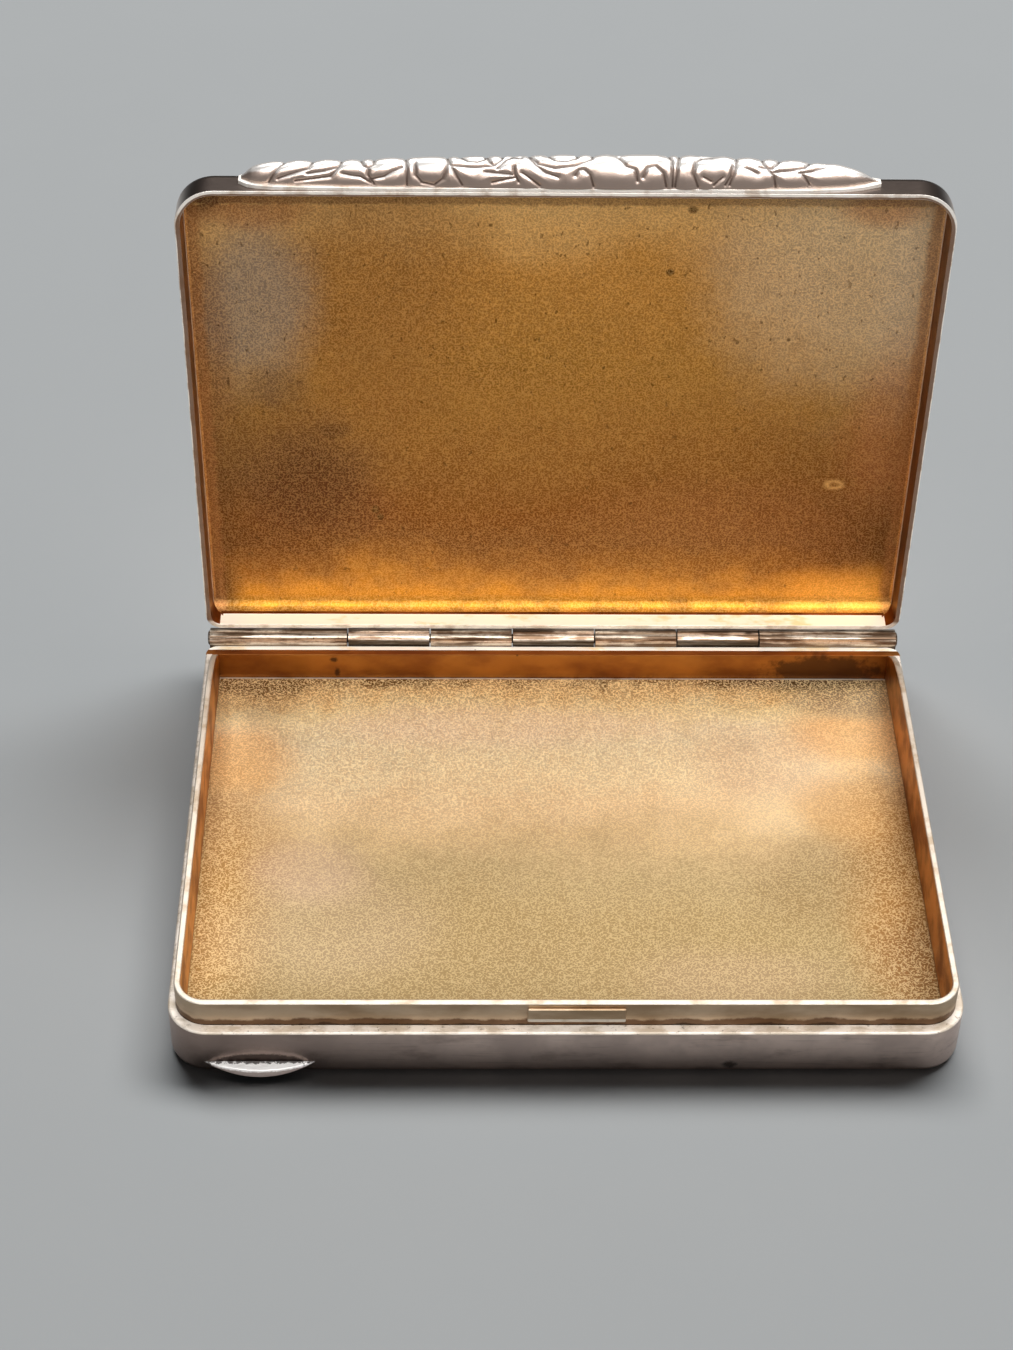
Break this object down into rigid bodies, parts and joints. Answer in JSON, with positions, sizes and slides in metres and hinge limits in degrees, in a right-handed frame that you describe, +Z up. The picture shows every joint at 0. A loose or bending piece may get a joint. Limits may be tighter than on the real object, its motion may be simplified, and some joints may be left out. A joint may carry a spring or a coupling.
{
  "type": "cigarette case",
  "caption": "Shallow hinged metal pocket case with a gilt inside, a bezel that the lid closes over, a knuckled hinge and a scrolled thumbpiece.",
  "frame": {"origin": "centre of the flat underside of the base, with the lid standing open", "axes": "+Z up from the underside, -Y towards the front edge that opens, +X along the hinge to the right as seen from the front"},
  "size_m": [0.09, 0.0731, 0.0778],
  "materials": {
    "silver": "worn polished silver, hazed and lightly tarnished",
    "bright_silver": "bright cast silver, dark in the recesses",
    "knuckle_silver": "worn silver tube with brown tarnish",
    "gilt": "smooth silver gilt, brown in the corners",
    "frosted_gilt": "frosted silver gilt with grey tarnish patches",
    "steel": "plain drawn wire"
  },
  "bodies": {
    "base": {"base_wall_band": "silver", "base_rear_wall": "gilt", "base_bottom_plate": "silver", "base_inner_floor": "frosted_gilt", "base_bezel": "gilt", "snap_bar": "gilt", "base_thumb_lug": "bright_silver", "base_knuckle_1": "knuckle_silver", "base_knuckle_2": "knuckle_silver", "base_knuckle_3": "knuckle_silver", "base_knuckle_4": "knuckle_silver", "hinge_pin": "steel", "pin_plug_left": "knuckle_silver", "pin_plug_right": "knuckle_silver"},
    "lid": {"lid_wall_band": "silver", "lid_rear_wall": "gilt", "lid_plate": "frosted_gilt", "lid_knuckle_1": "knuckle_silver", "lid_knuckle_2": "knuckle_silver", "lid_knuckle_3": "knuckle_silver", "thumbpiece_plinth": "bright_silver", "thumbpiece": "bright_silver"}
  },
  "joints": [
    {"name": "lid_hinge", "type": "hinge", "parent": "base", "child": "lid", "pos_m": [0, 0.03433, 0.007], "axis": [1, 0, 0], "range_deg": [0, 90]}
  ]
}
